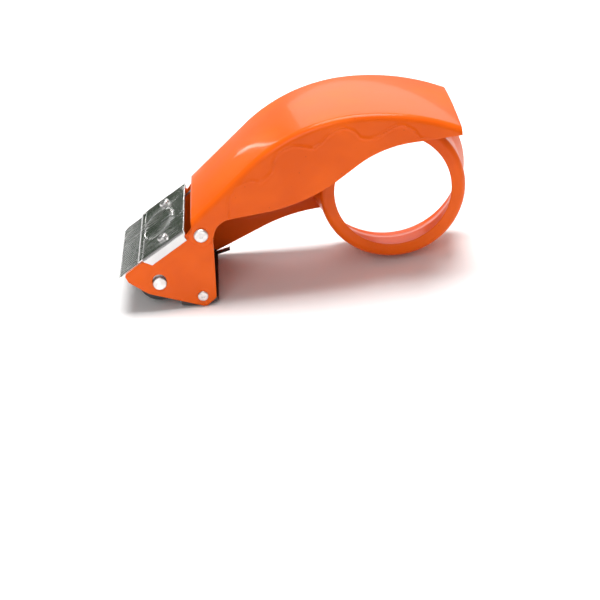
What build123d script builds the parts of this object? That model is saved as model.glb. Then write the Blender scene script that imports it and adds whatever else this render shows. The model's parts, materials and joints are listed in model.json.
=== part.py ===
from build123d import *
import math
import os

# Hand-held packing-tape dispenser in pressed and painted sheet steel.
# Frame: X forward to the cutter, Y to the open side where the tape roll slides off, Z up.
# Origin: on the axis of the tape core drum, half-way between the two cheeks. Millimetres.

os.makedirs("parts", exist_ok=True)

# Sheet and overall widths
plate_t = 1.2            # cheeks and side plate
handle_t = 1.0           # handle pressing
cheek_outer = 31.2       # half width over the cheeks
skirt_gap = 0.2          # between a cheek and the handle skirt outside it
cheek_inner = cheek_outer - plate_t
skirt_inner = cheek_outer + skirt_gap
skirt_outer = skirt_inner + handle_t

# Core drum
drum_r = 37.5            # a 76 mm paper core slides over it
drum_end = 5.8           # free end of the drum
lip_width = 7.5          # the turned-in end leaves a round hole
drum_lip_r = drum_r - lip_width
rim_flare = 3.9          # the rim at the side plate is this much larger
rim_r = drum_r + rim_flare
rim_band = 4.2           # straight part of the rim
flare_run = 10.0
flare_end = rim_band - cheek_outer
flare_start = flare_end + flare_run
lip_corner = 3.5
floor_z = -rim_r         # it stands on the rim and on the cheeks' low corners

# Pivots, as X and Z
handle_pin = (98.6, -1.75)
roller_pin = (122.3, -26.0)
guide_pin = (101.6, floor_z + 6.05)
handle_pin_r = 2.5
roller_pin_r = 3.45
guide_pin_r = 2.0
run_gap = 0.06           # radial clearance of everything that turns
roller_lift = 1.5        # free play of the roller axle in its slots

# Handle arch
crown = (17.0, rim_r + 10.1)     # highest point
crown_rear_r = 115.0
crown_front_r = 86.0
front_slope = 39.8       # degrees, straight front part
handle_rear_x = -33.3
handle_front_x = 103.0
bend_r = 3.4             # outside bend between strip and skirt
lug_wall = 3.7           # metal round the rivet at the end of each skirt
lug_r = handle_pin_r + lug_wall
lug_gap = 0.4            # a cheek's own boss is this much smaller
spacer_wall = 1.5
spacer_r = handle_pin_r + spacer_wall

# Head: a sloping top with the blade clamped under its cover
head_origin = (106.5, 2.0)
head_slope = 31.6
cover_t = 0.8
blade_t = 0.6
seat_t = 1.2
cover_length = 30.0
flange_length = 26.7
flange_depth = 5.2
blade_reach = 43.5
blade_half = cheek_inner - 0.2
tooth_pitch = 2.35
tooth_depth = 2.2
screw_along = 13.8
screw_across = cheek_inner - 7.5
screw_r = 1.5

# Roller
tyre_r = 11.2
core_wall = 3.95
core_r = roller_pin_r + core_wall
roller_half = cheek_inner - 2.0
washer_wall = 2.75
clip_wall = 1.75
washer_t = 0.6
clip_t = 0.6

# Guide flap and guide roller
flap_t = 0.8
flap_half = cheek_inner - 0.6
flap_front_x = 113.0
flap_rear_x = 94.0
guide_roller_r = 3.4
flap_floor_gap = 0.3     # the flap stays this far above the standing surface
flap_spring_width = 5.0
flap_spring_y = flap_half - 9.0

# Springs
handle_wire = 1.0
flap_wire = 0.7
coil_gap = 0.35          # between a coil and what it is wound round


def side_plane(y):
    return Plane(origin=(0, y, 0), x_dir=(1, 0, 0), z_dir=(0, -1, 0))


def slab(sketch, y_low, y_high):
    """A sketch in X and Z made solid from y_low to y_high."""
    return extrude(side_plane(y_high) * sketch, amount=y_high - y_low)


def disc(centre, radius):
    return Pos(centre[0], centre[1]) * Circle(radius)


def rod(centre, radius, y_low, y_high):
    return slab(disc(centre, radius), y_low, y_high)


def tube(centre, outer, inner, y_low, y_high):
    return rod(centre, outer, y_low, y_high) - rod(centre, inner, y_low, y_high)


def outline(points, radii):
    """Closed outline with one corner radius for each point."""
    return make_face(FilletPolyline(*points, radius=radii, close=True))


def polar(centre, radius, degrees):
    a = math.radians(degrees)
    return (centre[0] + radius * math.cos(a), centre[1] + radius * math.sin(a))


def tangent_point(point, centre, radius, side):
    """Where a line from point touches the circle; side is +1 or -1."""
    dx = point[0] - centre[0]
    dz = point[1] - centre[1]
    reach = math.hypot(dx, dz)
    angle = math.degrees(math.atan2(dz, dx) + side * math.acos(radius / reach))
    return polar(centre, radius, angle)


def fitted_radius(before, corner, after, wanted):
    """The wanted fillet radius, or less where the two edges are too short for it."""
    back = (before[0] - corner[0], before[1] - corner[1])
    ahead = (after[0] - corner[0], after[1] - corner[1])
    run = min(math.hypot(*back), math.hypot(*ahead))
    inside = abs(math.atan2(back[0] * ahead[1] - back[1] * ahead[0],
                            back[0] * ahead[0] + back[1] * ahead[1]))
    return min(wanted, 0.97 * run * math.tan(inside / 2))


def along_head(s, n):
    """X and Z of a point s down the head's slope and n above its cover."""
    a = math.radians(head_slope)
    x = head_origin[0] + s * math.cos(a) + n * math.sin(a)
    z = head_origin[1] - s * math.sin(a) + n * math.cos(a)
    return (x, z)


def head_plane(n):
    a = math.radians(head_slope)
    x, z = along_head(0, n)
    return Plane(origin=(x, 0, z), x_dir=(math.cos(a), 0, -math.sin(a)),
                 z_dir=(math.sin(a), 0, math.cos(a)))


def head_sheet(sketch, n_low, n_high):
    """A sketch in s and y made solid between two levels of the head."""
    return extrude(head_plane(n_low) * sketch, amount=n_high - n_low)


def head_rect(s_low, s_high, half):
    return Pos((s_low + s_high) / 2, 0) * Rectangle(s_high - s_low, 2 * half)


def mirrored(shape):
    return shape + mirror(shape, Plane.XZ)


def wire_solid(path, wire):
    start = path @ 0
    return sweep(Plane(origin=start, z_dir=path % 0) * Circle(wire / 2), path=path)


def coil(centre, radius, wire, y_start, y_end, angle_start, angle_end, turns):
    """A close-wound coil about the Y direction that starts and ends at the given angles."""
    a = math.radians(angle_start)
    part_turn = ((angle_start - angle_end) % 360) / 360
    width = y_end - y_start
    helix = Helix(width / (turns + part_turn), width, radius)
    place = Plane(origin=(centre[0], y_start, centre[1]), x_dir=(math.cos(a), 0, math.sin(a)),
                  z_dir=(0, 1, 0))
    return wire_solid(place * helix, wire)


def angle_about(point, centre):
    return math.degrees(math.atan2(point[1] - centre[1], point[0] - centre[0]))


def save(shape, node):
    shape.label = node
    export_step(shape, f"parts/{node}.step")
    print(f"{node}: {len(shape.solids())} solids, {shape.volume:.1f} mm3")


# Levels in the head, measured down from the top of the cover
blade_top = -cover_t
blade_bottom = blade_top - blade_t
seat_bottom = blade_bottom - seat_t


def roller_slot():
    lift = (roller_pin[0], roller_pin[1] + roller_lift)
    wide = roller_pin_r + run_gap
    middle = Pos(roller_pin[0], roller_pin[1] + roller_lift / 2)
    return disc(roller_pin, wide) + disc(lift, wide) + middle * Rectangle(2 * wide, roller_lift)


def cheek_nose():
    """Corners and radii of the head end of a cheek, from the low corner to the pivot."""
    low = (100.6, floor_z)
    under = (roller_pin[0] + 6.4, roller_pin[1] - 5.0)
    chin = (roller_pin[0] + 15.5, roller_pin[1] + 2.4)
    tip = along_head(39.3, blade_bottom)
    shoulder = along_head(1.6, blade_bottom)
    notch = along_head(1.6, blade_bottom - 2.0)
    return [low, under, chin, tip, shoulder, notch], [3.0, 12.0, 3.0, 1.5, 0.3, 0.0]


def cheek_holes():
    return disc(handle_pin, handle_pin_r) + disc(guide_pin, guide_pin_r) + roller_slot()


def left_cheek():
    boss = lug_r - lug_gap
    points, radii = cheek_nose()
    back = [(handle_pin[0] - 5.3, handle_pin[1] - 10.25), (94.9, floor_z + 4.4)]
    top = tangent_point(points[-1], handle_pin, boss, 1)
    rear = tangent_point(back[0], handle_pin, boss, -1)
    face = outline(points + [top, handle_pin, rear] + back, radii + [0, 0, 0, 0, 2.0])
    face = face + disc(handle_pin, boss)
    return slab(face - cheek_holes(), cheek_inner, cheek_outer)


def rib(start, end, width, height):
    """A shallow stiffening rib standing out of the side plate."""
    length = math.hypot(end[0] - start[0], end[1] - start[1])
    turn = math.degrees(math.atan2(end[1] - start[1], end[0] - start[0]))
    middle = Pos((start[0] + end[0]) / 2, (start[1] + end[1]) / 2)
    slot = middle * Rot(0, 0, turn) * SlotCenterToCenter(length, width)
    body = slab(slot, -cheek_outer - height, -cheek_outer)
    return chamfer(body.faces().sort_by(Axis.Y)[0].edges(), height * 0.6)


def side_plate():
    boss = lug_r - lug_gap
    points, radii = cheek_nose()
    neck_rear = (handle_pin[0] - 12.1, handle_pin[1] + 3.15)
    neck_top = (handle_pin[0] - 18.6, handle_pin[1] + 6.35)
    on_rim = polar((0, 0), rim_r, 47.5)
    inside = polar((0, 0), rim_r / 3, 30.0)
    below = polar((0, 0), rim_r - 1.9, -30.7)
    waist = (rim_r + 10.6, below[1] - 0.4)
    edge = [neck_rear, neck_top, on_rim, inside, below, waist]
    waist_r = fitted_radius(below, waist, points[0], 90.0)
    edge_radii = [6.0, 6.0, 0.0, 0.0, 0.0, waist_r]
    top = tangent_point(points[-1], handle_pin, boss, 1)
    rear = tangent_point(edge[0], handle_pin, boss, -1)
    face = outline(points + [top, handle_pin, rear] + edge, radii + [0, 0, 0] + edge_radii)
    face = face + disc(handle_pin, boss) - disc((0, 0), rim_r)
    plate = slab(face - cheek_holes(), -cheek_outer, -cheek_inner)
    plate = plate + rib((49.0, 6.0), (74.8, -4.8), 4.4, 0.6)
    plate = plate + rib((47.5, -13.8), (75.0, -20.0), 5.0, 0.6)
    return plate


def core_drum():
    """Spun ring: turned-in end, straight wall, flared and hemmed rim."""
    wall = plate_t
    rim_face = -cheek_outer
    hem = 2.3
    profile = [
        (drum_lip_r, drum_end), (drum_r, drum_end), (drum_r, flare_start), (rim_r, flare_end),
        (rim_r, rim_face), (rim_r - hem, rim_face), (rim_r - hem, flare_end + 0.4),
        (drum_r - wall, flare_start - 0.4), (drum_r - wall, drum_end - wall),
        (drum_lip_r, drum_end - wall),
    ]
    radii = [0.4, lip_corner, 12.0, 3.0, 0.5, 1.1, 4.0, 10.0, lip_corner - wall, 0.4]
    return revolve(outline(profile, radii), axis=Axis.Y)


def arch_path(rear_x, front_x):
    """Top line of the arch: two arcs over the crown and a straight, all tangent."""
    cx, cz = crown
    rear_centre = (cx, cz - crown_rear_r)
    front_centre = (cx, cz - crown_front_r)
    rear_angle = 90 + math.degrees(math.asin((cx - rear_x) / crown_rear_r))
    rear = polar(rear_centre, crown_rear_r, rear_angle)
    knee = polar(front_centre, crown_front_r, 90 - front_slope)
    run = (front_x - knee[0]) / math.cos(math.radians(front_slope))
    front = polar(knee, run, -front_slope)
    rear_mid = polar(rear_centre, crown_rear_r, (rear_angle + 90) / 2)
    front_mid = polar(front_centre, crown_front_r, 90 - front_slope / 2)
    return [ThreePointArc(rear, rear_mid, crown), ThreePointArc(crown, front_mid, knee),
            Line(knee, front)]


def handle_trim(front_z):
    """Side outline that trims the arch: square ends, hand-shaped lower edge and lug."""
    above = crown[1] + 10
    front = (handle_front_x, front_z - 1.0)
    rear = (handle_rear_x, 37.0)
    front_foot = tangent_point(front, handle_pin, lug_r, -1)
    ledge = [(89.8, 4.6), (45.1, 8.7), (7.2, 33.8)]
    rear_foot = tangent_point(ledge[0], handle_pin, lug_r, 1)
    points = [(rear[0], above), (front[0], above), front, front_foot, handle_pin, rear_foot]
    radii = [0, 0, 0, 0, 0, 0, 10.0, 86.0, 55.0, 0.8]
    return outline(points + ledge + [rear], radii) + disc(handle_pin, lug_r)


def rounded_top(half, radius, drop):
    """Section of the arch, its two upper corners rounded; drop lowers its top."""
    deep = 45.0
    block = Pos(0, -deep / 2 - drop) * Rectangle(2 * half, deep)
    return fillet(block.vertices().group_by(Axis.Y)[-1], radius)


def handle_shell():
    """A strip bent along the arch with a skirt each side, which ends in a lug on the rivet."""
    beyond = 14.0
    path = side_plane(0) * Wire(arch_path(handle_rear_x - beyond, handle_front_x + beyond))
    section = rounded_top(skirt_outer, bend_r, 0)
    section = section - rounded_top(skirt_inner, bend_r - handle_t, handle_t)
    start = Plane(origin=path @ 0, x_dir=(0, 1, 0), z_dir=path % 0)
    channel = sweep(start * section, path=path)
    front_edge = side_plane(0) * Wire(arch_path(handle_rear_x, handle_front_x))
    trim = slab(handle_trim((front_edge @ 1).Z), -skirt_outer - 1, skirt_outer + 1)
    pivot = rod(handle_pin, handle_pin_r + run_gap, -skirt_outer - 1, skirt_outer + 1)
    return (channel & trim) - pivot


def blade_seat():
    """Bridge under the blade, its two short flanges welded inside the cheeks."""
    edge = cheek_inner
    top = head_sheet(head_rect(2.0, 34.0, edge), seat_bottom, blade_bottom)
    flange = head_sheet(head_rect(2.0, 15.0, edge), seat_bottom - 5.0, blade_bottom)
    flange = flange - head_sheet(head_rect(1.0, 16.0, edge - seat_t), seat_bottom - 6.0, seat_bottom)
    return top + flange - screw_holes(screw_r)


def screw_holes(radius):
    spots = Locations((screw_along, screw_across), (screw_along, -screw_across))
    return extrude(head_plane(-20) * (spots.locations[0] * Circle(radius)), amount=30) + extrude(
        head_plane(-20) * (spots.locations[1] * Circle(radius)), amount=30)


def cutter_blade():
    """Thin saw-toothed strip; the teeth are cut along its front edge."""
    body = head_rect(2.2, blade_reach - tooth_depth, blade_half)
    count = int(2 * blade_half / tooth_pitch)
    start = -count * tooth_pitch / 2
    line = [(blade_reach - tooth_depth, start)]
    for i in range(count):
        line.append((blade_reach, start + (i + 0.5) * tooth_pitch))
        line.append((blade_reach - tooth_depth, start + (i + 1) * tooth_pitch))
    back = blade_reach - tooth_depth - 1.0
    line += [(back, -start), (back, start)]
    teeth = make_face(Polyline(*line, close=True))
    return head_sheet(body + teeth, blade_bottom, blade_top) - screw_holes(screw_r)


def blade_cover():
    """Plated clamp plate whose side flanges hook over the outside of the cheeks."""
    inner = cheek_outer + 0.05
    outer = inner + cover_t
    top = head_rect(0.6, flange_length, outer)
    block = head_sheet(top, -flange_depth, 0)
    long_edges = [e for e in block.edges()
                  if abs(abs(e.center().Y) - outer) < 0.01
                  and abs(head_plane(0).to_local_coords(e.center()).Z) < 0.01]
    block = fillet(long_edges, 1.3)
    block = block - head_sheet(head_rect(0.0, flange_length + 1, inner), -flange_depth - 1, blade_top)
    heel = head_sheet(head_rect(0.0, 1.9, outer + 1), -flange_depth - 1, blade_top)
    block = block - heel
    nose = head_sheet(head_rect(flange_length - 0.5, cover_length, blade_half + 0.4), blade_top, 0)
    oval = Pos(18.0, 0) * Ellipse(9.0, 15.5)
    dish = Pos(18.0, 0) * Ellipse(8.2, 14.7)
    mark = head_sheet(oval - dish, -0.1, 0.3)
    return block + nose + mark - screw_holes(screw_r)


def blade_screws():
    """Two pan-head screws with a plain cross recess."""
    head_high = 1.7
    head = Cylinder(screw_r + 1.3, head_high, align=(Align.CENTER, Align.CENTER, Align.MIN))
    head = fillet(head.edges().sort_by(Axis.Z)[-1], 1.2)
    shank = Cylinder(screw_r, 8.0, align=(Align.CENTER, Align.CENTER, Align.MAX))
    cross = Pos(0, 0, head_high) * (Box(3.0, 0.7, 1.6) + Box(0.7, 3.0, 1.6))
    screw = head + shank - cross
    one = head_plane(0) * Pos(screw_along, screw_across, 0) * Rot(0, 0, 25) * screw
    two = head_plane(0) * Pos(screw_along, -screw_across, 0) * Rot(0, 0, 65) * screw
    return Compound(children=[one, two])


def blade_nuts():
    nut = extrude(RegularPolygon(screw_r + 1.6, 6), amount=-2.4)
    nut = nut - Cylinder(screw_r, 10)
    spots = [Pos(screw_along, side * screw_across, 0) for side in (1, -1)]
    return Compound(children=[head_plane(seat_bottom) * spot * nut for spot in spots])


def rivet(centre, shank_r, head_r, head_high, face):
    """A rivet with a domed head against each side face."""
    shank = rod(centre, shank_r, -face, face)
    head = rod(centre, head_r, face, face + head_high)
    head = fillet(head.edges().sort_by(Axis.Y)[-1], head_high * 0.8)
    dimple = rod(centre, head_r * 0.28, face + head_high - 0.35, face + head_high + 1)
    return shank + mirrored(head - dimple)


def handle_rivet():
    return rivet(handle_pin, handle_pin_r, handle_pin_r + 1.1, 1.3, skirt_outer + run_gap)


def handle_spacer():
    return tube(handle_pin, spacer_r, handle_pin_r, -cheek_inner, cheek_inner)


def handle_spring():
    """Torsion spring round the spacer; it draws the handle down onto the roll."""
    wind_r = spacer_r + coil_gap + handle_wire / 2
    wide = 6.0
    near = -cheek_inner + handle_wire / 2 + 0.3
    hook_z = 4.6
    hook_x = 83.0
    start = tangent_point((hook_x, hook_z), handle_pin, wind_r, -1)
    lead = FilletPolyline((start[0], near, start[1]), (hook_x, near, hook_z),
                          (hook_x, -skirt_outer, hook_z), radius=1.2)
    seat = along_head(9.0, seat_bottom - 1.9)
    lift = tangent_point(seat, handle_pin, wind_r, 1)
    arm = Line((lift[0], near + wide, lift[1]), (seat[0], near + wide, seat[1]))
    wound = coil(handle_pin, wind_r, handle_wire, near, near + wide,
                 angle_about(start, handle_pin), angle_about(lift, handle_pin), 4)
    return wound + wire_solid(lead, handle_wire) + wire_solid(arm, handle_wire)


def roller_axle():
    reach = cheek_outer + 0.7
    pin = rod(roller_pin, roller_pin_r, -reach, reach)
    ends = [e for e in pin.edges() if abs(abs(e.center().Y) - reach) < 0.01]
    return chamfer(ends, 0.4)


def axle_clips():
    low = roller_half + washer_t + 0.25
    ring = tube(roller_pin, roller_pin_r + clip_wall, roller_pin_r, low, low + clip_t)
    mouth = slab(Pos(roller_pin[0] + 5.0, roller_pin[1]) * Rectangle(6.0, 3.6), low, low + clip_t)
    return mirrored(ring - mouth)


def roller_washers():
    low = roller_half + 0.1
    return mirrored(tube(roller_pin, roller_pin_r + washer_wall, roller_pin_r, low, low + washer_t))


def roller_core():
    return tube(roller_pin, core_r, roller_pin_r + run_gap, -roller_half, roller_half)


def roller_tyre():
    tyre = tube(roller_pin, tyre_r, core_r, -roller_half + 0.4, roller_half - 0.4)
    ends = [e for e in tyre.edges() if e.length > 2 * math.pi * (tyre_r - 0.1)]
    return fillet(ends, 0.8)


def guide_rod():
    return rivet(guide_pin, guide_pin_r, guide_pin_r + 0.7, 1.1, cheek_outer)


def guide_roller():
    end = flap_spring_y - 0.9
    return tube(guide_pin, guide_roller_r, guide_pin_r + run_gap, -flap_half + 1.6, end)


def guide_flap():
    """Curved tape guide plate with two ears that hang on the guide rod."""
    low = floor_z + flap_floor_gap
    front = (flap_front_x, low + 1.3)
    rear = (flap_rear_x, low + 1.8)
    belly = (102.8, low)
    under = ThreePointArc(rear, belly, front)
    over = ThreePointArc((front[0], front[1] + flap_t), (belly[0], low + flap_t),
                         (rear[0], rear[1] + flap_t))
    ends = [Line(front, (front[0], front[1] + flap_t)), Line((rear[0], rear[1] + flap_t), rear)]
    plate = slab(make_face([under, over] + ends), -flap_half, flap_half)
    tab_rear = (87.3, low + 3.4)
    tab = Polyline(rear, (rear[0], rear[1] + flap_t), (tab_rear[0], tab_rear[1] + flap_t),
                   tab_rear, close=True)
    tab = slab(make_face(tab), -flap_half, -flap_half + 3.5)
    brow = (flap_front_x, front[1] + 2.6)
    front_top = (guide_pin[0] + 4.4, guide_pin[1] + 0.95)
    rear_top = (guide_pin[0] - 4.0, guide_pin[1] + 1.35)
    ear = make_face([under, Line(front, brow), Line(brow, front_top), Line(front_top, rear_top),
                     Line(rear_top, rear)])
    ear = ear + disc(guide_pin, 3.6)
    ears = mirrored(slab(ear, flap_half - flap_t, flap_half))
    return plate + tab + ears - rod(guide_pin, guide_pin_r + run_gap, -flap_half, flap_half)


def flap_spring():
    """Torsion spring on the guide rod; it holds the flap up against the tape."""
    wind_r = guide_pin_r + coil_gap + flap_wire / 2
    near = flap_spring_y
    wide = flap_spring_width
    foot = (95.2, floor_z + flap_floor_gap + 1.3 + flap_t + flap_wire / 2 + 0.1)
    start = tangent_point(foot, guide_pin, wind_r, -1)
    leg = Line((start[0], near + wide, start[1]), (foot[0], near + wide, foot[1]))
    top = (104.2, guide_pin[1] + 11.0)
    root = tangent_point(top, guide_pin, wind_r, -1)
    arm = FilletPolyline((root[0], near, root[1]), (top[0], near, top[1]),
                         (top[0], cheek_inner, top[1]), radius=1.0)
    wound = coil(guide_pin, wind_r, flap_wire, near, near + wide,
                 angle_about(root, guide_pin), angle_about(start, guide_pin), 4)
    return wound + wire_solid(leg, flap_wire) + wire_solid(arm, flap_wire)


for make in (side_plate, left_cheek, core_drum, handle_shell, blade_seat, cutter_blade,
             blade_cover, blade_screws, blade_nuts, handle_rivet, handle_spacer, handle_spring,
             roller_axle, axle_clips, roller_washers, roller_core, roller_tyre, guide_rod,
             guide_roller, guide_flap, flap_spring):
    save(make(), make.__name__)
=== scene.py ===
# %% [markdown]
# # A packing-tape dispenser, from sheet steel to enamel
#
# The real tool is pressed from sheet steel and painted a glossy orange. A roll of tape slides on a
# round drum, runs under an arched handle, round a rubber roller and over a saw-tooth blade.
# We start from the measured frame, which holds every part at its true size and place. Our job here
# is the look: soft edges, pressed marks, enamel, bright plating, rubber.

# %% Load the frame
import json
import math

import bmesh
import bpy
from mathutils import Matrix, Vector
from mathutils.geometry import delaunay_2d_cdt

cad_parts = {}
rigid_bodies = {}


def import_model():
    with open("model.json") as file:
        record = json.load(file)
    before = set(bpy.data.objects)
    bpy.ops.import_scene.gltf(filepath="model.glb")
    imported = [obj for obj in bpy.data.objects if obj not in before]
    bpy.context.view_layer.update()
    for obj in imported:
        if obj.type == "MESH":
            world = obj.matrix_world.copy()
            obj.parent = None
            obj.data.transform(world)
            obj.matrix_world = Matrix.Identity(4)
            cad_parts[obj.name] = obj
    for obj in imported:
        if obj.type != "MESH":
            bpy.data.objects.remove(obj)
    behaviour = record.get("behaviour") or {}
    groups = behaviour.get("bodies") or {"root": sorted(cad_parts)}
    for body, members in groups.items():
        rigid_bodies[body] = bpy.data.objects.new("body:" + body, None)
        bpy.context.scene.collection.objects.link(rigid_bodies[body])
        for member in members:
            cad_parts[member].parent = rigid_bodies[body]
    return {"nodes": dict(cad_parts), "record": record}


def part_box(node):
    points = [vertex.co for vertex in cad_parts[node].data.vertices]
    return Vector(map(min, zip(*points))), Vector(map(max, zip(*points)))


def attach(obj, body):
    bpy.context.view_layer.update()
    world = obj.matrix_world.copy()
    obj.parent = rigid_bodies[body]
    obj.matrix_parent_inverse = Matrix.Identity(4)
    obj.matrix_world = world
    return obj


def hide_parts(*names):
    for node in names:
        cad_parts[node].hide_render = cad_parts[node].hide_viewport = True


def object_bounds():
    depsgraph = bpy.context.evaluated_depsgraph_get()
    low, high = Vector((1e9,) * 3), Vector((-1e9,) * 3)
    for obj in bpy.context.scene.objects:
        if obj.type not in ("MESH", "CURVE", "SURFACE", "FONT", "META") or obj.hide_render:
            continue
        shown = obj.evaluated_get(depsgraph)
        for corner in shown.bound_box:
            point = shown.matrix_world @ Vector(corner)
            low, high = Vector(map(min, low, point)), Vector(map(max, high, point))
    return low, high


for leftover in list(bpy.data.objects):
    bpy.data.objects.remove(leftover)
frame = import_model()
nodes = frame["nodes"]
cad_low, cad_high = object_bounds()
mm = 0.001
print("parts in the frame:", len(nodes))
print("size in mm:", [round(v / mm, 1) for v in (cad_high - cad_low)])

# %% [markdown]
# ## Shared effects
#
# Three things happen to nearly every surface of a used tool: its edges catch the light, its finish
# is a little uneven, and metal carries fine lines from rolling or grinding. Each is a small node
# group with named inputs, so that every material can use it with its own numbers.
# The edge effect compares the true normal with one that has been rounded by a Bevel node: they
# differ only near an edge.

# %% A helper that makes a node group
def make_group(name, inputs, outputs):
    group = bpy.data.node_groups.new(name, "ShaderNodeTree")
    for title, kind, value in inputs:
        socket = group.interface.new_socket(title, in_out="INPUT", socket_type=kind)
        socket.default_value = value
    for title, kind in outputs:
        group.interface.new_socket(title, in_out="OUTPUT", socket_type=kind)
    start = group.nodes.new("NodeGroupInput")
    end = group.nodes.new("NodeGroupOutput")
    return group, start, end


def add_math(tree, operation, first, second):
    node = tree.nodes.new("ShaderNodeMath")
    node.operation = operation
    for socket, value in zip(node.inputs, (first, second)):
        if isinstance(value, (int, float)):
            socket.default_value = value
        else:
            tree.links.new(value, socket)
    return node.outputs[0]


def add_range(tree, value, from_low, from_high, to_low=0.0, to_high=1.0):
    node = tree.nodes.new("ShaderNodeMapRange")
    node.interpolation_type = "SMOOTHSTEP"
    tree.links.new(value, node.inputs["Value"])
    for title, number in (("From Min", from_low), ("From Max", from_high),
                          ("To Min", to_low), ("To Max", to_high)):
        node.inputs[title].default_value = number
    return node.outputs["Result"]


print("helpers ready")

# %% Edge wear: a mask that is 1 along an edge
edge_wear, gin, gout = make_group(
    "edge_wear",
    [("Radius", "NodeSocketFloat", 0.0005), ("Breakup", "NodeSocketFloat", 400.0)],
    [("Mask", "NodeSocketFloat"), ("Normal", "NodeSocketVector")])
rounded = edge_wear.nodes.new("ShaderNodeBevel")
rounded.samples = 4
edge_wear.links.new(gin.outputs["Radius"], rounded.inputs["Radius"])
geometry = edge_wear.nodes.new("ShaderNodeNewGeometry")
compare = edge_wear.nodes.new("ShaderNodeVectorMath")
compare.operation = "DOT_PRODUCT"
edge_wear.links.new(rounded.outputs[0], compare.inputs[0])
edge_wear.links.new(geometry.outputs["Normal"], compare.inputs[1])
speckle = edge_wear.nodes.new("ShaderNodeTexNoise")
speckle.inputs["Detail"].default_value = 4.0
place = edge_wear.nodes.new("ShaderNodeTexCoord")
edge_wear.links.new(place.outputs["Object"], speckle.inputs["Vector"])
edge_wear.links.new(gin.outputs["Breakup"], speckle.inputs["Scale"])
turned = add_range(edge_wear, compare.outputs["Value"], 0.97, 0.80)
broken = add_range(edge_wear, speckle.outputs["Fac"], 0.40, 0.62)
edge_wear.links.new(add_math(edge_wear, "MULTIPLY", turned, broken), gout.inputs["Mask"])
edge_wear.links.new(rounded.outputs[0], gout.inputs["Normal"])
print("group:", edge_wear.name)

# %% Uneven finish: broad, soft variation with a fine grain on it
uneven, gin, gout = make_group(
    "uneven",
    [("Broad", "NodeSocketFloat", 30.0), ("Fine", "NodeSocketFloat", 900.0)],
    [("Broad", "NodeSocketFloat"), ("Fine", "NodeSocketFloat"), ("Specks", "NodeSocketFloat")])
place = uneven.nodes.new("ShaderNodeTexCoord")
for title, detail in (("Broad", 3.0), ("Fine", 2.0)):
    noise = uneven.nodes.new("ShaderNodeTexNoise")
    noise.inputs["Detail"].default_value = detail
    uneven.links.new(place.outputs["Object"], noise.inputs["Vector"])
    uneven.links.new(gin.outputs[title], noise.inputs["Scale"])
    uneven.links.new(noise.outputs["Fac"], gout.inputs[title])
dust = uneven.nodes.new("ShaderNodeTexVoronoi")
dust.inputs["Scale"].default_value = 160.0
uneven.links.new(place.outputs["Object"], dust.inputs["Vector"])
uneven.links.new(add_range(uneven, dust.outputs["Distance"], 0.07, 0.03), gout.inputs["Specks"])
print("group:", uneven.name)

# %% Brushed lines: noise stretched along one direction
brushed, gin, gout = make_group(
    "brushed",
    [("Stretch", "NodeSocketVector", (20.0, 900.0, 20.0)),
     ("Tilt", "NodeSocketVector", (0.0, 0.0, 0.0))],
    [("Lines", "NodeSocketFloat"), ("Clouds", "NodeSocketFloat")])
place = brushed.nodes.new("ShaderNodeTexCoord")
tilt = brushed.nodes.new("ShaderNodeVectorRotate")
tilt.rotation_type = "EULER_XYZ"
brushed.links.new(place.outputs["Object"], tilt.inputs["Vector"])
brushed.links.new(gin.outputs["Tilt"], tilt.inputs["Rotation"])
stretch = brushed.nodes.new("ShaderNodeVectorMath")
stretch.operation = "MULTIPLY"
brushed.links.new(tilt.outputs[0], stretch.inputs[0])
brushed.links.new(gin.outputs["Stretch"], stretch.inputs[1])
lines = brushed.nodes.new("ShaderNodeTexNoise")
lines.inputs["Scale"].default_value = 1.0
lines.inputs["Detail"].default_value = 5.0
brushed.links.new(stretch.outputs[0], lines.inputs["Vector"])
brushed.links.new(lines.outputs["Fac"], gout.inputs["Lines"])
clouds = brushed.nodes.new("ShaderNodeTexNoise")
clouds.inputs["Scale"].default_value = 70.0
brushed.links.new(place.outputs["Object"], clouds.inputs["Vector"])
brushed.links.new(clouds.outputs["Fac"], gout.inputs["Clouds"])
print("group:", brushed.name)

# %% [markdown]
# ## Materials
#
# A material here is one Principled shader with a few numbers of its own and the shared effects
# plugged in. Constant values sit on the shader's own sockets; only colours and values that vary
# over the surface are linked.

# %% Helpers for materials
def begin(name):
    material = bpy.data.materials.new(name)
    material.use_nodes = True
    tree = material.node_tree
    return material, tree, tree.nodes["Principled BSDF"]


def put(tree, group, **values):
    node = tree.nodes.new("ShaderNodeGroup")
    node.node_tree = group
    for title, value in values.items():
        node.inputs[title].default_value = value
    return node


def mix_colour(tree, mask, first, second):
    node = tree.nodes.new("ShaderNodeMix")
    node.data_type = "RGBA"
    tree.links.new(mask, node.inputs[0])
    for socket, value in ((node.inputs[6], first), (node.inputs[7], second)):
        if isinstance(value, tuple):
            socket.default_value = (*value, 1.0)
        else:
            tree.links.new(value, socket)
    return node.outputs[2]


def bump(tree, shader, height, distance, strength, normal):
    node = tree.nodes.new("ShaderNodeBump")
    node.inputs["Distance"].default_value = distance
    node.inputs["Strength"].default_value = strength
    tree.links.new(height, node.inputs["Height"])
    tree.links.new(normal, node.inputs["Normal"])
    tree.links.new(node.outputs[0], shader.inputs["Normal"])


finish = {}
print("material helpers ready")

# %% [markdown]
# ### Orange enamel
#
# Stoved enamel is a thick glossy skin. It flows a little before it sets, so it is never quite flat
# (orange peel), it thins and pales on sharp edges, and small specks of dust sit under it.

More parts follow.
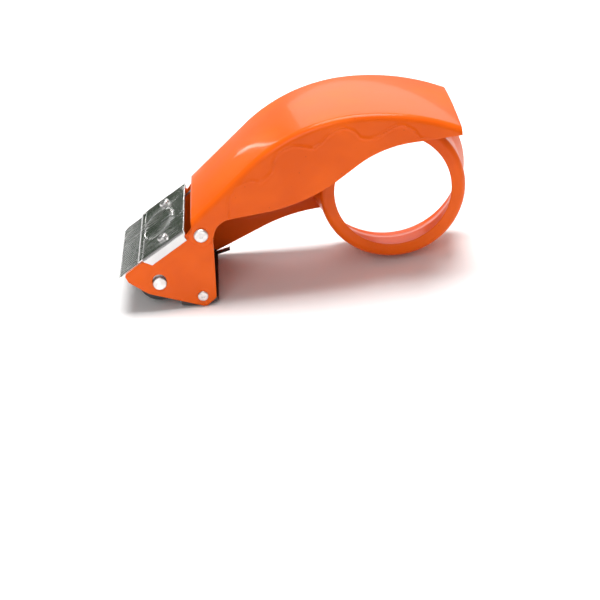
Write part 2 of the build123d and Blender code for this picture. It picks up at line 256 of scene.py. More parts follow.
# %% Orange enamel
material, tree, shader = begin("orange_paint")
wear = put(tree, edge_wear, Radius=0.0007, Breakup=260.0)
flow = put(tree, uneven, Broad=28.0, Fine=420.0)
deep = (0.72, 0.092, 0.0010)
full = (0.80, 0.112, 0.0018)
thin = (0.93, 0.26, 0.05)
colour = mix_colour(tree, add_range(tree, flow.outputs["Broad"], 0.35, 0.65), deep, full)
colour = mix_colour(tree, add_math(tree, "MULTIPLY", wear.outputs["Mask"], 0.55), colour, thin)
colour = mix_colour(tree, add_math(tree, "MULTIPLY", flow.outputs["Specks"], 0.35), colour,
                    (0.30, 0.03, 0.002))
tree.links.new(colour, shader.inputs["Base Color"])
gloss = add_range(tree, flow.outputs["Broad"], 0.3, 0.7, 0.30, 0.38)
tree.links.new(gloss, shader.inputs["Roughness"])
shader.inputs["IOR"].default_value = 1.5
shader.inputs["Specular IOR Level"].default_value = 0.1
shader.inputs["Coat Weight"].default_value = 0.2
shader.inputs["Coat Roughness"].default_value = 0.07
bump(tree, shader, flow.outputs["Fine"], 0.00005, 0.35, wear.outputs["Normal"])
finish["orange_paint"] = material
print("finish:", material.name)

# %% [markdown]
# ### Metals
#
# The clamp plate is bright-plated and rolled along its slope, so its lines run down the head.
# The blade is the same idea but finer; rivets are satin; springs are dark drawn wire.

# %% Metals
slope_degrees = 31.6
head_tilt = (0.0, math.radians(-slope_degrees), 0.0)
worn_metal = (0.9, 0.89, 0.87)


def metal(name, dark, light, rough_low, rough_high, stretch, tilt=(0.0, 0.0, 0.0)):
    material, tree, shader = begin(name)
    marks = put(tree, brushed, Stretch=stretch, Tilt=tilt)
    wear = put(tree, edge_wear, Radius=0.0003, Breakup=500.0)
    tone = add_range(tree, marks.outputs["Lines"], 0.35, 0.65)
    colour = mix_colour(tree, tone, dark, light)
    rubbed = add_math(tree, "MULTIPLY", wear.outputs["Mask"], 0.5)
    colour = mix_colour(tree, rubbed, colour, worn_metal)
    tree.links.new(colour, shader.inputs["Base Color"])
    shader.inputs["Metallic"].default_value = 1.0
    rough = add_range(tree, marks.outputs["Clouds"], 0.3, 0.7, rough_low, rough_high)
    streak = add_math(tree, "MULTIPLY", tone, 0.06)
    tree.links.new(add_math(tree, "ADD", rough, streak), shader.inputs["Roughness"])
    bump(tree, shader, marks.outputs["Lines"], 0.00002, 0.3, wear.outputs["Normal"])
    finish[name] = material


metal("plated_steel", (0.52, 0.51, 0.51), (0.70, 0.69, 0.68), 0.16, 0.26,
      (25.0, 900.0, 25.0), head_tilt)
metal("blade_steel", (0.46, 0.46, 0.46), (0.66, 0.66, 0.65), 0.16, 0.24,
      (40.0, 1600.0, 40.0), head_tilt)
metal("rivet_steel", (0.60, 0.57, 0.56), (0.80, 0.77, 0.76), 0.26, 0.36,
      (300.0, 300.0, 300.0))
metal("spring_steel", (0.30, 0.30, 0.31), (0.52, 0.52, 0.52), 0.24, 0.34,
      (500.0, 200.0, 500.0))
print("metals:", sorted(n for n in finish if n.endswith("steel")))

# %% [markdown]
# ### Black parts
#
# Rubber is dull and soaks up light, moulded plastic has a fine spark-eroded grain, and the guide
# flap has thin black paint which has rubbed at its rim.

# %% Black parts
def black(name, low, high, rough_low, rough_high, coat, fine, depth, edge):
    material, tree, shader = begin(name)
    grain = put(tree, uneven, Broad=60.0, Fine=fine)
    wear = put(tree, edge_wear, Radius=0.0004, Breakup=420.0)
    colour = mix_colour(tree, add_range(tree, grain.outputs["Broad"], 0.35, 0.65), low, high)
    colour = mix_colour(tree, add_math(tree, "MULTIPLY", wear.outputs["Mask"], 0.6), colour, edge)
    tree.links.new(colour, shader.inputs["Base Color"])
    rough = add_range(tree, grain.outputs["Broad"], 0.3, 0.7, rough_low, rough_high)
    tree.links.new(rough, shader.inputs["Roughness"])
    shader.inputs["Coat Weight"].default_value = coat
    bump(tree, shader, grain.outputs["Fine"], 0.00004, depth, wear.outputs["Normal"])
    finish[name] = material


black("black_rubber", (0.012, 0.012, 0.012), (0.030, 0.029, 0.028), 0.42, 0.6, 0.0, 1500.0, 0.5,
      (0.06, 0.06, 0.058))
black("black_plastic", (0.018, 0.018, 0.018), (0.030, 0.030, 0.030), 0.35, 0.45, 0.0, 2200.0, 0.4,
      (0.08, 0.08, 0.08))
black("black_paint", (0.022, 0.012, 0.010), (0.040, 0.024, 0.020), 0.28, 0.4, 0.4, 700.0, 0.3,
      (0.20, 0.18, 0.17))
for part in frame["record"]["subparts"]:
    mesh = nodes[part["node"]].data
    mesh.materials.clear()
    mesh.materials.append(finish[part["material_slot"]])
print("finishes:", sorted(finish))

# %% [markdown]
# ## Tools for sheet metal
#
# A pressed sheet is a flat outline with holes, given a thickness and a softened edge. The outline
# of a part is already in the frame: it is the border of the part's flat face. So we read it from
# there, fill it with an even net of triangles, push the net where the press tool pushed the steel,
# and let Solidify and Bevel add thickness and edges.

# %% Read the border loops of a flat face
def flat_loops(node, axis, level):
    """Border loops of the faces of a node that lie at one level, as 3-D points."""
    same_level, grid = 2e-6, 1e-7
    mesh = nodes[node].data
    edges = {}
    for face in mesh.polygons:
        points = [mesh.vertices[i].co for i in face.vertices]
        if all(abs(p[axis] - level) < same_level for p in points):
            keys = [tuple(round(c / grid) for c in p) for p in points]
            for a, b in zip(keys, keys[1:] + keys[:1]):
                edges[(a, b)] = edges.get((a, b), 0) + 1
    border = {a: b for (a, b) in edges if (b, a) not in edges}
    loops = []
    while border:
        start, here = border.popitem()
        loop = [start]
        while here != start and here in border:
            loop.append(here)
            here = border.pop(here)
        loops.append([Vector(p) * grid for p in loop])
    return sorted(loops, key=len, reverse=True)


across_axis = 1
cheek_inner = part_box("left_cheek")[0].y
cheek_loops = flat_loops("left_cheek", across_axis, cheek_inner)
print("loops of the left cheek:", [len(loop) for loop in cheek_loops])

# %% Fill an outline with an even net
def inside(point, loop):
    hit = False
    for a, b in zip(loop, loop[1:] + loop[:1]):
        if (a[1] > point[1]) != (b[1] > point[1]):
            if point[0] < a[0] + (point[1] - a[1]) * (b[0] - a[0]) / (b[1] - a[1]):
                hit = not hit
    return hit


def gap_to(point, loop):
    best = 1.0
    for a, b in zip(loop, loop[1:] + loop[:1]):
        dx, dy = b[0] - a[0], b[1] - a[1]
        length2 = dx * dx + dy * dy
        along = (point[0] - a[0]) * dx + (point[1] - a[1]) * dy
        t = 0.0 if length2 == 0 else along / length2
        t = max(0.0, min(1.0, t))
        best = min(best, math.hypot(point[0] - a[0] - t * dx, point[1] - a[1] - t * dy))
    return best


def net(outer, holes, step, extra=()):
    """Triangles that fill the outline, with extra points where detail is wanted."""
    row_height = 0.866 * step
    clear_of_border = 0.35 * mm
    low = [min(p[i] for p in outer) for i in (0, 1)]
    high = [max(p[i] for p in outer) for i in (0, 1)]
    points, edges = [], []
    for loop in [outer] + holes:
        first = len(points)
        points += [Vector(p) for p in loop]
        edges += [(first + i, first + (i + 1) % len(loop)) for i in range(len(loop))]
    spots = [Vector(p) for p in extra]
    row = 0
    y = low[1] + step / 2
    while y < high[1]:
        x = low[0] + step * (0.5 + 0.5 * (row % 2))
        while x < high[0]:
            spot = Vector((x, y))
            if all((near - spot).length > step * 0.6 for near in spots[:len(extra)]):
                spots.append(spot)
            x += step
        y += row_height
        row += 1
    for spot in spots:
        if inside(spot, outer) and not any(inside(spot, h) for h in holes):
            if min(gap_to(spot, loop) for loop in [outer] + holes) > clear_of_border:
                points.append(spot)
    found, _, faces, _, _, _ = delaunay_2d_cdt(points, edges, [], 0, 1e-9)
    kept = []
    for face in faces:
        middle = sum((found[i] for i in face), Vector((0, 0))) / 3
        if inside(middle, outer) and not any(inside(middle, h) for h in holes):
            kept.append(list(face))
    return found, kept


unit_square = [(0, 0), (1, 0), (1, 1), (0, 1)]
print("net of a unit square:", len(net(unit_square, [], 0.2)[1]), "triangles")

# %% Make an object, and give sheet its thickness and edges
def make_object(name, verts, faces, slot, body, stands_for=()):
    mesh = bpy.data.meshes.new(name)
    mesh.from_pydata([tuple(v) for v in verts], [], faces)
    mesh.validate()
    piece = bpy.data.objects.new(name, mesh)
    bpy.context.scene.collection.objects.link(piece)
    mesh.materials.append(finish[slot])
    for face in mesh.polygons:
        face.use_smooth = True
    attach(piece, body)
    if stands_for:
        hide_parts(*stands_for)
    return piece


def tidy_mesh(piece, merge=2e-6):
    work = bmesh.new()
    work.from_mesh(piece.data)
    bmesh.ops.remove_doubles(work, verts=work.verts, dist=merge)
    bmesh.ops.dissolve_degenerate(work, edges=work.edges, dist=1e-7)
    bmesh.ops.recalc_face_normals(work, faces=work.faces)
    work.to_mesh(piece.data)
    work.free()
    for face in piece.data.polygons:
        face.use_smooth = True


def thicken(piece, thickness, edge):
    solid = piece.modifiers.new("thickness", "SOLIDIFY")
    solid.thickness = thickness
    solid.offset = -1.0
    solid.use_even_offset = True
    soft = piece.modifiers.new("soft edge", "BEVEL")
    soft.width = edge
    soft.segments = 2
    soft.limit_method = "ANGLE"
    soft.angle_limit = math.radians(50)
    soft.harden_normals = False


def sharpen(piece, degrees):
    piece.data.set_sharp_from_angle(angle=math.radians(degrees))


print("sheet tools ready")

# %% [markdown]
# ## The handle
#
# A strip of 1 mm steel is bent along an arch and pressed down at both sides into skirts, with a
# rounded bend between. The top bows up a little across its width. On each skirt the press left a
# raised line of four finger scallops. We walk along the arch, lay a row of points across it at
# each step, and join the flat skirts to those rows.

# %% The arch's top line
handle_low, handle_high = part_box("handle_shell")
crown_x, rear_r, front_r = 17.0 * mm, 115.0 * mm, 86.0 * mm
crown_z = handle_high.z
slope = math.radians(39.8)
half_wide = handle_high.y
bend = 3.4 * mm
front_x = 103.0 * mm
rear_x = handle_low.x


def arch(s):
    """Point and outward normal of the top line, s along it from the crown."""
    if s < 0:
        a = s / rear_r
        x, z = crown_x + rear_r * math.sin(a), crown_z - rear_r * (1 - math.cos(a))
        return (x, z), (math.sin(a), math.cos(a))
    a = min(s / front_r, slope)
    x, z = crown_x + front_r * math.sin(a), crown_z - front_r * (1 - math.cos(a))
    rest = s - front_r * slope
    if rest > 0:
        x, z = x + rest * math.cos(slope), z - rest * math.sin(slope)
    return (x, z), (math.sin(a), math.cos(a))


def arch_gap(x, z):
    """How far a point lies under the top line."""
    if x < crown_x:
        return rear_r - math.hypot(x - crown_x, z - crown_z + rear_r)
    cz = crown_z - front_r
    if math.atan2(x - crown_x, z - cz) < slope:
        return front_r - math.hypot(x - crown_x, z - cz)
    return front_r - ((x - crown_x) * math.sin(slope) + (z - cz) * math.cos(slope))


print("arch gap at the crown in mm:", round(arch_gap(crown_x, crown_z - bend) / mm, 3))

# %% The strip over the top, with its two bends
def lowered(s, depth):
    (x, z), (nx, nz) = arch(s)
    return x - nx * depth, z - nz * depth


def solve_s(x_wanted, depth):
    low, high = -80 * mm, 150 * mm
    for _ in range(60):
        mid = (low + high) / 2
        if lowered(mid, depth)[0] < x_wanted:
            low = mid
        else:
            high = mid
    return low


def across():
    """Half of the section: distance from the middle, and depth under the top line."""
    flat = half_wide - bend
    bow = 1.0 * mm
    rows = [(flat * i / 9, -bow * (1 - (i / 9) ** 2)) for i in range(10)]
    for i in range(1, 8):
        a = math.radians(90 * i / 7)
        rows.append((flat + bend * math.sin(a), bend * (1 - math.cos(a))))
    return rows


half = across()
section = [(-y, d) for y, d in reversed(half[1:])] + half
count = 110
verts, faces = [], []
for i in range(count + 1):
    for y, depth in section:
        s0, s1 = solve_s(rear_x, depth), solve_s(front_x, depth)
        x, z = lowered(s0 + (s1 - s0) * i / count, depth)
        verts.append(Vector((x, y, z)))
wide = len(section)
for i in range(count):
    for j in range(wide - 1):
        a = i * wide + j
        faces.append((a, a + wide, a + wide + 1, a + 1))
edge_line = [(verts[i * wide].x, verts[i * wide].z) for i in range(count + 1)]
print("strip:", len(faces), "faces")

# %% The finger scallops and the raised line's height
fingers = [
    [(84.0, 5.5), (83.8, 11.0), (82.4, 16.4), (78.6, 21.6), (72.2, 24.3), (66.8, 23.0)],
    [(66.8, 23.0), (63.4, 25.2), (60.2, 28.2)],
    [(60.2, 28.2), (59.2, 33.0), (55.6, 37.4), (50.0, 39.6), (44.4, 38.9), (39.4, 37.4)],
    [(39.4, 37.4), (35.0, 40.0), (30.6, 44.0), (24.4, 46.2), (19.0, 44.0), (16.4, 40.5)],
    [(16.4, 40.5), (12.4, 39.4), (7.4, 39.8)],
    [(7.4, 39.8), (2.0, 43.0), (-4.0, 44.5), (-9.6, 41.4), (-12.8, 36.6)],
]


def smooth_line(points, per=10):
    ends = [points[0]] + list(points) + [points[-1]]
    line = []
    for p0, p1, p2, p3 in zip(ends, ends[1:], ends[2:], ends[3:]):
        for k in range(per):
            t = k / per
            line.append(tuple(0.5 * (2 * b + (c - a) * t + (2 * a - 5 * b + 4 * c - d) * t * t
                                     + (3 * b - a - 3 * c + d) * t ** 3)
                              for a, b, c, d in zip(p0, p1, p2, p3)))
    return line + [tuple(points[-1])]


scallop = []
for finger in fingers:
    scallop += [(x * mm, z * mm) for x, z in smooth_line(finger)]
dense = []
for (ax, az), (bx, bz) in zip(scallop, scallop[1:]):
    run = math.hypot(bx - ax, bz - az)
    if run < 1e-7:
        continue
    nx, nz = (az - bz) / run, (bx - ax) / run
    for off in (-1.7, -1.2, -0.8, -0.4, 0.0, 0.4, 0.8, 1.2, 1.7):
        dense.append((ax + nx * off * mm, az + nz * off * mm))
spread = []
cells = set()
for x, z in dense:
    cell = (round(x / (0.42 * mm)), round(z / (0.42 * mm)))
    if cell not in cells:
        cells.add(cell)
        spread.append((x, z))


def scallop_rise(x, z):
    """Height of the raised line at a point of the skirt."""
    d = min(math.hypot(x - px, z - pz) for px, pz in scallop[::2])
    return 0.7 * mm * math.exp(-(d / (0.7 * mm)) ** 2)


print("scallop line:", len(scallop), "points; net points near it:", len(spread))

# %% The skirts, joined to the strip
skirt_loops = flat_loops("handle_shell", 1, half_wide)
border = [(p.x, p.z) for p in skirt_loops[0]]
hole = [(p.x, p.z) for p in skirt_loops[1]]
at = min(range(len(border)), key=lambda i: (border[i][0] - front_x) ** 2
         + (border[i][1] - edge_line[-1][1]) ** 2)
order = border[at:] + border[:at]
lower = [p for p in order if arch_gap(*p) > bend + 0.06 * mm]
if lower[0][0] < lower[-1][0]:
    lower.reverse()
outline = edge_line + lower
found, triangles = net(outline, [hole], 2.2 * mm, spread)
fade = 0.8 * mm
rises = [scallop_rise(p.x, p.y) * min(1.0, max(0.0, gap_to(p, outline) / fade)) for p in found]
for side in (1, -1):
    first = len(verts)
    verts += [Vector((p.x, side * (half_wide + r), p.y)) for p, r in zip(found, rises)]
    faces += [tuple(first + i for i in t) for t in triangles]
handle = make_object("handle_pressing", verts, faces, "orange_paint", "handle", ["handle_shell"])
tidy_mesh(handle)
thicken(handle, 1.0 * mm, 0.22 * mm)
print("handle:", len(handle.data.polygons), "faces, skirt border", len(outline))

# %% [markdown]
# ## The drum
#
# The drum is spun on a lathe from a round blank: a straight wall that fits the paper core, a free
# end turned in, and a flared rim with its edge folded under. It could be bent from a tube, but a
# profile turned about the axis is how the real one is made, and keeps every section true.

# %% Round the corners of a profile and turn it
def rounded_profile(points, radii, steps=8):
    out = []
    n = len(points)
    for i, (p, r) in enumerate(zip(points, radii)):
        a, b = Vector(points[i - 1]) - Vector(p), Vector(points[(i + 1) % n]) - Vector(p)
        angle = a.angle(b)
        if r == 0 or angle > math.pi - 1e-4:
            out.append(tuple(p))
            continue
        reach = min(r / math.tan(angle / 2), 0.499 * min(a.length, b.length))
        radius = reach * math.tan(angle / 2)
        start, end = Vector(p) + a.normalized() * reach, Vector(p) + b.normalized() * reach
        halfway = (a.normalized() + b.normalized()).normalized()
        centre = Vector(p) + halfway * radius / math.sin(angle / 2)
        u, v = start - centre, end - centre
        total = u.angle(v)
        for k in range(steps + 1):
            t = k / steps
            w = (u * math.sin((1 - t) * total) + v * math.sin(t * total)) / math.sin(total)
            out.append(tuple(centre + w))
    return out


def turned(name, profile, centre, slot, body, stands_for, around):
    """Turns a closed profile of (radius, y) about the Y direction through centre."""
    verts, faces = [], []
    n = len(profile)
    for i in range(around):
        a = 2 * math.pi * i / around
        for r, y in profile:
            verts.append((centre[0] + r * math.cos(a), y, centre[1] + r * math.sin(a)))
    for i in range(around):
        for j in range(n):
            a, b = i * n + j, ((i + 1) % around) * n + j
            c = i * n + (j + 1) % n
            d = ((i + 1) % around) * n + (j + 1) % n
            faces.append((a, b, d, c))
    piece = make_object(name, verts, faces, slot, body, stands_for)
    tidy_mesh(piece, 1e-7)
    return piece


drum_low, drum_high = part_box("core_drum")
rim_face, free_end, rim_r = drum_low.y / mm, drum_high.y / mm, drum_high.x / mm
drum_r = rim_r - 3.9
lip_r, wall, hem_r = drum_r - 7.5, 1.2, rim_r - 2.3
corners = [(lip_r, free_end), (drum_r, free_end), (drum_r, rim_face + 14.2),
           (rim_r, rim_face + 4.2), (rim_r, rim_face), (hem_r, rim_face),
           (hem_r, rim_face + 4.6), (drum_r - wall, rim_face + 13.8),
           (drum_r - wall, free_end - wall), (lip_r, free_end - wall)]
radii = [0.4, 3.5, 12, 3, 0.9, 1.1, 4, 10, 2.3, 0.4]
profile = [(r * mm, y * mm) for r, y in rounded_profile(corners, radii)]
fine = []
for (r0, y0), (r1, y1) in zip(profile, profile[1:] + profile[:1]):
    parts = max(1, int(math.hypot(r1 - r0, y1 - y0) / (1.2 * mm)))
    for k in range(parts):
        fine.append((r0 + (r1 - r0) * k / parts, y0 + (y1 - y0) * k / parts))
drum = turned("drum_spun", fine, (0.0, 0.0), "orange_paint", "frame", ["core_drum"], 160)
sharpen(drum, 50)
print("drum:", len(drum.data.polygons), "faces")

# %% [markdown]
# ## Cheeks and side plate
#
# The two cheeks carry the head. The right one runs back as a neck and is welded to the drum's
# rim. Two stiffening ribs and a round weld mark are pressed into the neck. The outlines come from
# the frame's own flat faces; only the pressed relief and the soft edges are new.

# %% Flat plates with relief
def relief_ridge(point, start, end, width, height):
    dx, dz = end[0] - start[0], end[1] - start[1]
    along = (point[0] - start[0]) * dx + (point[1] - start[1]) * dz
    t = max(0.0, min(1.0, along / (dx * dx + dz * dz)))
    d = math.hypot(point[0] - start[0] - t * dx, point[1] - start[1] - t * dz)
    if d > width:
        return 0.0
    return height * 0.5 * (1 + math.cos(math.pi * d / width))


ridges = [((49.0, 6.0), (74.8, -4.8), 2.6, 0.7), ((47.5, -13.8), (75.0, -20.0), 2.8, 0.6)]
weld, weld_r, weld_deep = (40.6, -15.4), 1.2, 0.35
sheet = 1.2 * mm


def plate_relief(x, z):
    rise = sum(relief_ridge((x / mm, z / mm), *ridge) for ridge in ridges)
    d = math.hypot(x / mm - weld[0], z / mm - weld[1])
    if d < weld_r:
        rise -= weld_deep * 0.5 * (1 + math.cos(math.pi * d / weld_r))
    return rise * mm


def plate(name, node, level, outward, step, relief=None, extra=()):
    loops = [[(p.x, p.z) for p in loop] for loop in flat_loops(node, across_axis, level)]
    loops.sort(key=lambda loop: min(p[0] for p in loop) - max(p[0] for p in loop))
    found, triangles = net(loops[0], loops[1:], step, extra)
    rise = [relief(p.x, p.y) if relief else 0.0 for p in found]
    top = level + outward * sheet
    verts = [Vector((p.x, top + outward * r, p.y)) for p, r in zip(found, rise)]
    faces = [tuple(reversed(t)) if outward > 0 else tuple(t) for t in triangles]
    piece = make_object(name, verts, faces, "orange_paint", "frame", [node])
    tidy_mesh(piece)
    facing = sum(f.normal.y * f.area for f in piece.data.polygons)
    if facing * outward < 0:
        piece.data.flip_normals()
    thicken(piece, sheet, 0.25 * mm)
    return piece


ridge_points = []
for (x0, z0), (x1, z1), width, height in ridges:
    run = math.hypot(x1 - x0, z1 - z0)
    nx, nz = (z0 - z1) / run, (x1 - x0) / run
    steps = int((run + 2 * width) / 0.9)
    for k in range(steps + 1):
        t = (-width + (run + 2 * width) * k / steps) / run
        for j in range(-4, 5):
            off = width * j / 4
            x, z = x0 + (x1 - x0) * t + nx * off, z0 + (z1 - z0) * t + nz * off
            ridge_points.append((x * mm, z * mm))
for j in range(1, 4):
    for k in range(12):
        a = math.radians(30 * k)
        x, z = weld[0] + 0.4 * j * math.cos(a), weld[1] + 0.4 * j * math.sin(a)
        ridge_points.append((x * mm, z * mm))
left = plate("left_cheek_pressing", "left_cheek", cheek_inner, 1, 3.0 * mm)
right = plate("side_plate_pressing", "side_plate", -cheek_inner, -1, 3.0 * mm,
              plate_relief, ridge_points)
print("faces in the left cheek:", len(left.data.polygons))
print("faces in the side plate:", len(right.data.polygons))

# %% [markdown]
# ## Blade and clamp plate
#
# The blade is a thin strip with a saw edge; each tooth is ground on one face to a sharp rim. The
# clamp plate is plated steel, dished by the press round a plain oval, with a rounded hem down each
# side. Both lie on the head's slope, so we build them flat and lay them on it with one matrix.

# %% Lay a flat piece on the slope
head_slope = math.radians(slope_degrees)
head_matrix = Matrix(((math.cos(head_slope), 0, math.sin(head_slope), 106.5 * mm),
                      (0, 1, 0, 0),
                      (-math.sin(head_slope), 0, math.cos(head_slope), 2.0 * mm),
                      (0, 0, 0, 1)))


def on_head(s, y, n):
    return head_matrix @ Vector((s * mm, y * mm, n * mm))


cheek_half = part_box("left_cheek")[1].y / mm
blade_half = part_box("cutter_blade")[1].y / mm
cover_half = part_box("blade_cover")[1].y / mm
print("half widths in mm:", round(cheek_half, 2), round(blade_half, 2), round(cover_half, 2))

# %% The blade and its teeth
pitch, tooth, reach, blade_back = 2.35, 2.2, 43.5, 2.2
blade_top, blade_low = -0.8, -1.4
teeth = int(2 * blade_half / pitch)
start = -teeth * pitch / 2
rows = []
for i in range(teeth):
    y0 = start + i * pitch
    rows += [(y0, 0.0), (y0 + pitch / 4, 0.5), (y0 + pitch / 2, 1.0), (y0 + 3 * pitch / 4, 0.5)]
rows.append((start + teeth * pitch, 0.0))
rows = [(-blade_half, 0.0)] + rows + [(blade_half, 0.0)]
verts, faces = [], []
for y, part in rows:
    tip = reach - tooth + tooth * part
    ground = reach - tooth - 1.6
    edge = blade_low + (blade_top - blade_low) * (0.25 if part < 1 else 0.12)
    for s, n in ((blade_back, blade_top), (ground, blade_top), (tip, edge), (tip, blade_low),
                 (blade_back, blade_low)):
        verts.append(on_head(s, y, n))
for i in range(len(rows) - 1):
    for j in range(5):
        a, b = i * 5 + j, (i + 1) * 5 + j
        faces.append((a, i * 5 + (j + 1) % 5, (i + 1) * 5 + (j + 1) % 5, b))
faces.append(tuple(range(5)))
faces.append(tuple(reversed(range(5 * (len(rows) - 1), 5 * len(rows)))))
blade = make_object("saw_blade", verts, faces, "blade_steel", "frame", ["cutter_blade"])
tidy_mesh(blade, 1e-7)
sharpen(blade, 25)
print("blade:", teeth, "teeth")

# %% The clamp plate
outer, thick = cover_half, 0.8
back_s, flange_s, nose_s, flange_n = 0.6, 26.7, 30.0, -5.2
hem_r = 1.3
oval_s, oval_a, oval_b = 18.0, 9.0, 15.5
screw_s, screw_y = 13.8, cheek_half - 8.7


def cover_level(s, y):
    """Pressed relief: a raised oval line, a faint dish inside it, dimples round the screws."""
    d = math.hypot((s - oval_s) / oval_a, y / oval_b)
    rise = 0.34 * math.exp(-((d - 1.0) / 0.065) ** 2)
    rise -= 0.16 * max(0.0, 1 - (d / 0.93) ** 8)
    for side in (1, -1):
        e = math.hypot(s - screw_s, y - side * screw_y)
        rise -= 0.18 * math.exp(-(e / 3.6) ** 2)
    return rise


flat = outer - hem_r
hem = []
for k in range(7):
    a = math.radians(15 * k)
    hem.append((flat + hem_r * math.sin(a), -hem_r * (1 - math.cos(a))))
y_rows = [-flat + 2 * flat * k / 72 for k in range(73)]
down = [(outer, -3.2), (outer, flange_n)]
right_side = [(-y, n) for y, n in reversed(hem + down)]
section = right_side + [(y, 0.0) for y in y_rows[1:-1]] + hem + down
s_rows = [back_s + (flange_s - back_s) * k / 34 for k in range(35)]
verts, faces = [], []
for s in s_rows:
    for y, n in section:
        low = n < -hem_r - 0.01
        cut = s
        if low and s < 2.2:
            cut = s + (2.4 - s) * min(1.0, (-n - hem_r) / 0.8)
        if low and s > flange_s - 2.5:
            cut = s - (s - flange_s + 2.5) * (-n - hem_r) / 3.9 * 0.9
        relief = cover_level(s, y) if abs(y) < flat else 0.0
        verts.append(on_head(cut, y, n + relief))
wide = len(section)
for i in range(len(s_rows) - 1):
    for j in range(wide - 1):
        a = i * wide + j
        faces.append((a, a + wide, a + wide + 1, a + 1))
first = len(verts)
nose_rows = [(flange_s, 0.0), (flange_s + 1.4, 0.0), (nose_s - 0.5, 0.0), (nose_s, -0.35)]
for s, n in nose_rows:
    for k in range(61):
        y = (-1 + 2 * k / 60) * (blade_half + 0.4)
        verts.append(on_head(s, y, n))
for i in range(len(nose_rows) - 1):
    for k in range(60):
        a = first + i * 61 + k
        faces.append((a, a + 61, a + 62, a + 1))
cover = make_object("clamp_plate", verts, faces, "plated_steel", "frame", ["blade_cover"])
tidy_mesh(cover, 1e-6)
up = head_matrix.to_3x3() @ Vector((0, 0, 1))
if sum(f.normal.dot(up) * f.area for f in cover.data.polygons) < 0:
    cover.data.flip_normals()
thicken(cover, thick * mm, 0.12 * mm)
print("clamp plate:", len(cover.data.polygons), "faces")

# %% [markdown]
# ## Roller
#
# The roller is a rubber sleeve on a plastic core. It is ground after it is fitted, so its face is
# straight, its corners are soft, and the core shows at the ends.

# %% The rubber sleeve
tyre_low, tyre_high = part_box("roller_tyre")
centre = ((tyre_low.x + tyre_high.x) / 2, (tyre_low.z + tyre_high.z) / 2)
tyre_r = (tyre_high.x - tyre_low.x) / 2
core_low, core_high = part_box("roller_core")
core_r = (core_high.x - core_low.x) / 2
corners = [(core_r / mm, tyre_high.y / mm), (tyre_r / mm, tyre_high.y / mm),
           (tyre_r / mm, tyre_low.y / mm), (core_r / mm, tyre_low.y / mm)]
profile = [(r * mm, y * mm) for r, y in rounded_profile(corners, [0.3, 1.1, 1.1, 0.3])]
tyre = turned("rubber_sleeve", profile, centre, "black_rubber", "roller", ["roller_tyre"], 96)
sharpen(tyre, 50)
print("sleeve radius in mm:", round(tyre_r / mm, 2))

# %% [markdown]
# ## The flap's spring
#
# A torsion spring sits on the lower rod. Its coil and upper arm stay with the head, while its
# lower leg swings with the guide flap. So it is two pieces of one wire, each on its own body, and
# the leg turns with the flap at every pose. The wire is a bevelled curve, turned into a mesh.

# %% Wind the wire
def wire(name, points, radius, slot, body, stands_for=()):
    curve = bpy.data.curves.new(name, "CURVE")
    curve.dimensions = "3D"
    curve.bevel_depth = radius
    curve.bevel_resolution = 4
    curve.use_fill_caps = True
    spline = curve.splines.new("POLY")
    spline.points.add(len(points) - 1)
    for spot, point in zip(spline.points, points):
        spot.co = (*point, 1.0)
    shape = bpy.data.objects.new(name, curve)
    mesh = bpy.data.meshes.new_from_object(shape)
    verts = [v.co.copy() for v in mesh.vertices]
    faces = [tuple(f.vertices) for f in mesh.polygons]
    bpy.data.objects.remove(shape)
    return make_object(name, verts, faces, slot, body, stands_for)


def touch_angle(x, z, pin_x, pin_z, radius):
    """Direction from the pin to where a straight leg towards (x, z) leaves the coil."""
    reach = math.hypot(x - pin_x, z - pin_z)
    return math.atan2(z - pin_z, x - pin_x) - math.acos(radius / reach)


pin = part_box("guide_rod")
pin_x, pin_z = (pin[0].x + pin[1].x) / 2, (pin[0].z + pin[1].z) / 2
wind_r, wire_r = 2.7 * mm, 0.35 * mm
coil_y, coil_end = 20.4 * mm, 25.4 * mm
whole_turns, steps = 4, 120
top = (104.2 * mm, pin_z + 11.0 * mm)
foot = (95.2 * mm, cad_low.z + 2.85 * mm)
first = touch_angle(*top, pin_x, pin_z, wind_r)
last = touch_angle(*foot, pin_x, pin_z, wind_r)
sweep_round = 2 * math.pi * whole_turns + (first - last) % (2 * math.pi)
points = [(top[0], cheek_inner, top[1]), (top[0], coil_y + 1.0 * mm, top[1]),
          (top[0], coil_y + 0.3 * mm, top[1] - 0.3 * mm), (top[0], coil_y, top[1] - 1.0 * mm)]
for k in range(steps + 1):
    a = first - sweep_round * k / steps
    y = coil_y + (coil_end - coil_y) * k / steps
    points.append((pin_x + wind_r * math.cos(a), y, pin_z + wind_r * math.sin(a)))
wire("flap_spring_coil", points, wire_r, "spring_steel", "frame", ["flap_spring"])
leg_from = Vector((pin_x + wind_r * math.cos(last), coil_end, pin_z + wind_r * math.sin(last)))
leg_to = Vector((foot[0], coil_end, foot[1]))
leg = [leg_from.lerp(leg_to, k / 8) for k in range(9)]
wire("flap_spring_leg", leg, wire_r, "spring_steel", "flap")
print("spring turns:", round(sweep_round / (2 * math.pi), 2))

# %% [markdown]
# ## Floor, light and camera
#
# A plain pale floor and soft light. A broad light over the back makes the top of the handle glow
# and puts one clean reflection across its bend, and a dark card behind, seen only in reflections,
# gives the polished plate something to mirror, as photographers do.

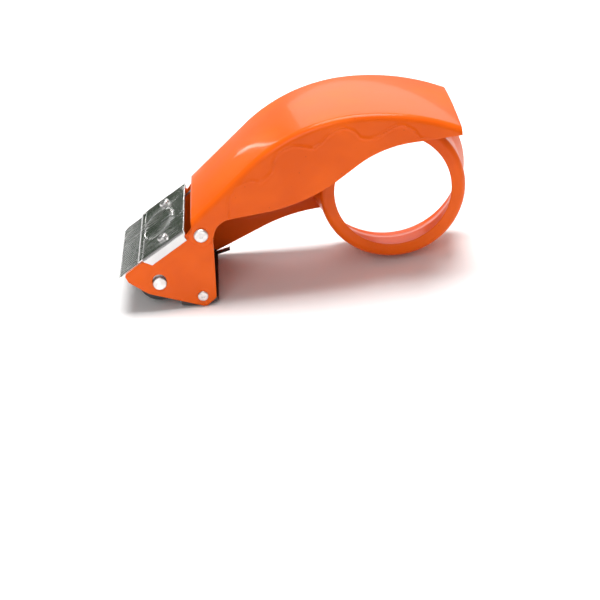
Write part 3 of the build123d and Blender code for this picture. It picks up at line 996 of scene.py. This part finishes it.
# %% Floor and light
floor_z = cad_low.z
bpy.ops.mesh.primitive_plane_add(size=6.0, location=(0, 0, floor_z - 0.00005))
floor = bpy.context.object
floor.name = "floor"
material, tree, shader = begin("pale_floor")
paper = put(tree, uneven, Broad=3.0, Fine=300.0)
pale = mix_colour(tree, paper.outputs["Broad"], (0.90, 0.90, 0.90), (0.93, 0.93, 0.93))
tree.links.new(pale, shader.inputs["Base Color"])
dull = add_range(tree, paper.outputs["Broad"], 0.0, 1.0, 0.75, 0.85)
tree.links.new(dull, shader.inputs["Roughness"])
floor.data.materials.append(material)

world = bpy.data.worlds.new("soft room")
bpy.context.scene.world = world
world.use_nodes = True
glow = world.node_tree.nodes["Background"]
glow.inputs["Color"].default_value = (1.0, 0.99, 0.98, 1.0)
glow.inputs["Strength"].default_value = 0.36


def area_light(name, place, target, width, height, power):
    data = bpy.data.lights.new(name, "AREA")
    data.shape = "RECTANGLE"
    data.size, data.size_y, data.energy = width, height, power
    light = bpy.data.objects.new(name, data)
    light.location = place
    aim = Vector(target) - Vector(place)
    light.rotation_euler = aim.to_track_quat("-Z", "Y").to_euler()
    light.visible_camera = False
    bpy.context.scene.collection.objects.link(light)


middle = (cad_low + cad_high) / 2
area_light("top light", (0.02, -0.12, 0.90), middle, 0.6, 0.6, 13.0)
area_light("back light", (-0.10, -0.66, 0.38), middle, 0.70, 0.36, 1.2)
area_light("edge light", (0.275, -0.49, 0.164), (0.065, 0.0, 0.037), 0.006, 0.20, 0.06)
area_light("front light", (0.35, 0.9, 0.55), middle, 0.5, 0.5, 2.6)

# %% A dark card that only reflections see
card_mesh = bpy.data.meshes.new("dark_card")
card_corners = [(0.25, -0.62, -0.03), (0.66, -0.52, -0.03), (0.66, -0.52, 0.34),
                (0.25, -0.62, 0.34)]
card_mesh.from_pydata(card_corners, [], [(0, 1, 2, 3)])
card = bpy.data.objects.new("dark_card", card_mesh)
bpy.context.scene.collection.objects.link(card)
material, tree, shader = begin("dark_card")
cloth = put(tree, uneven, Broad=9.0, Fine=60.0)
dark = mix_colour(tree, cloth.outputs["Broad"], (0.012, 0.020, 0.012), (0.05, 0.075, 0.045))
tree.links.new(dark, shader.inputs["Base Color"])
shader.inputs["Roughness"].default_value = 0.9
card.data.materials.append(material)
card.visible_camera = False
card.visible_diffuse = False
card.visible_shadow = False
print("card placed")

# %% Camera
azimuth, elevation, roll = math.radians(89.40), math.radians(26.47), math.radians(-5.90)
target, distance = Vector((0.0529, 0.0, -0.0591)), 0.8081
back = Vector((math.cos(elevation) * math.cos(azimuth),
               math.cos(elevation) * math.sin(azimuth), math.sin(elevation)))
level = Vector((0, 0, 1)).cross(back).normalized()
rise = back.cross(level)
right_way = level * math.cos(roll) + rise * math.sin(roll)
up_way = rise * math.cos(roll) - level * math.sin(roll)
camera_data = bpy.data.cameras.new("camera")
camera_data.lens = 91.49
camera_data.sensor_width = 36.0
camera = bpy.data.objects.new("camera", camera_data)
bpy.context.scene.collection.objects.link(camera)
turn = Matrix((right_way, up_way, back)).transposed().to_4x4()
camera.matrix_world = Matrix.Translation(target + back * distance) @ turn
bpy.context.scene.camera = camera
bpy.context.scene.view_settings.view_transform = "Standard"
print("camera at mm:", [round(v / mm, 1) for v in camera.matrix_world.translation])
